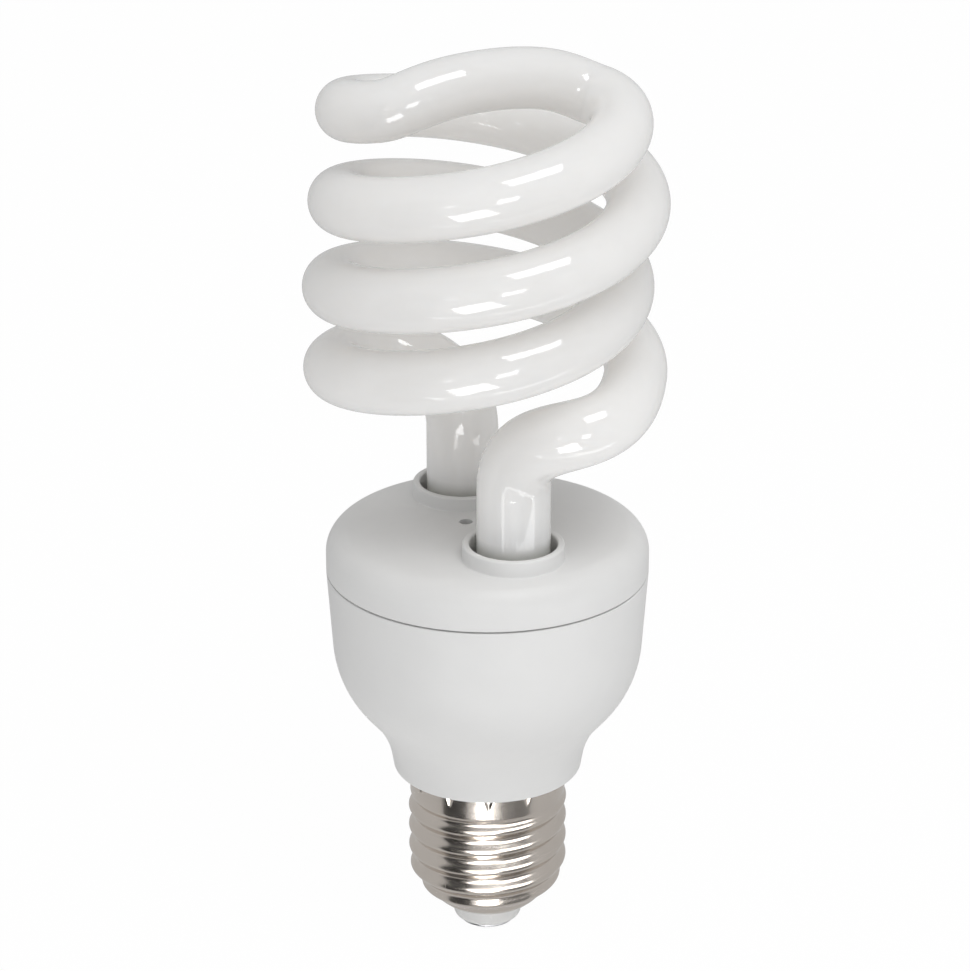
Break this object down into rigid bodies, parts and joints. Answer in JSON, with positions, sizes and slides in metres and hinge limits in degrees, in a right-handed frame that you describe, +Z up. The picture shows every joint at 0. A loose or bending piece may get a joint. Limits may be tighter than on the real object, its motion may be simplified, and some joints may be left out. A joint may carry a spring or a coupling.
{
  "type": "compact fluorescent bulb",
  "caption": "Compact fluorescent bulb: a coiled white glass tube on a moulded two-part base with a threaded metal screw cap.",
  "frame": {"origin": "middle of the centre contact's flat foot, the lamp's lowest point", "axes": "+Z up the lamp's axis from the centre contact to the coil, -Y towards the front, where one leg of the tube stands forward, +X to the right as seen from the front"},
  "size_m": [0.0579, 0.0579, 0.151],
  "materials": {
    "coated_glass": "glossy opal white glass, coated inside",
    "base_plastic": "satin moulded off-white plastic",
    "cap_nickel": "bright nickel plating on thin formed metal",
    "insulator": "pale opaque insulator",
    "contact_solder": "dull tinned metal",
    "cement": "matte white cement",
    "laminate": "tan paper laminate board",
    "capacitor_sleeve": "dark shrunk plastic sleeve",
    "ferrite": "dark grey sintered ferrite",
    "winding_tape": "yellow polyester tape",
    "black_epoxy": "black moulded epoxy",
    "red_lacquer": "dipped red lacquer",
    "resistor_coat": "pale blue coating",
    "diac_glass": "small blue sealed body",
    "tinned_metal": "tinned wire",
    "wire_insulation": "white wire insulation"
  },
  "bodies": {
    "root": {"spiral_tube": "coated_glass", "top_cover": "base_plastic", "lower_housing": "base_plastic", "tube_cement_1": "cement", "tube_cement_2": "cement", "screw_cap": "cap_nickel", "cap_insulator": "insulator", "centre_contact": "contact_solder", "ballast_board": "laminate", "electrolytic_capacitor": "capacitor_sleeve", "choke_core": "ferrite", "choke_winding": "winding_tape", "toroid_core": "ferrite", "filter_inductor": "ferrite", "transistor_1": "black_epoxy", "transistor_2": "black_epoxy", "film_capacitor_1": "red_lacquer", "film_capacitor_2": "red_lacquer", "film_capacitor_3": "red_lacquer", "fuse_resistor": "resistor_coat", "trigger_diac": "diac_glass", "live_lead": "wire_insulation", "neutral_lead": "wire_insulation", "rectifier_diode_1": "black_epoxy", "wire_pin_1": "tinned_metal", "filament_lead_1": "tinned_metal", "rectifier_diode_2": "black_epoxy", "wire_pin_2": "tinned_metal", "filament_lead_2": "tinned_metal", "rectifier_diode_3": "black_epoxy", "wire_pin_3": "tinned_metal", "filament_lead_3": "tinned_metal", "rectifier_diode_4": "black_epoxy", "wire_pin_4": "tinned_metal", "filament_lead_4": "tinned_metal", "resistor_1": "resistor_coat", "resistor_2": "resistor_coat", "resistor_3": "resistor_coat"}
  },
  "joints": []
}
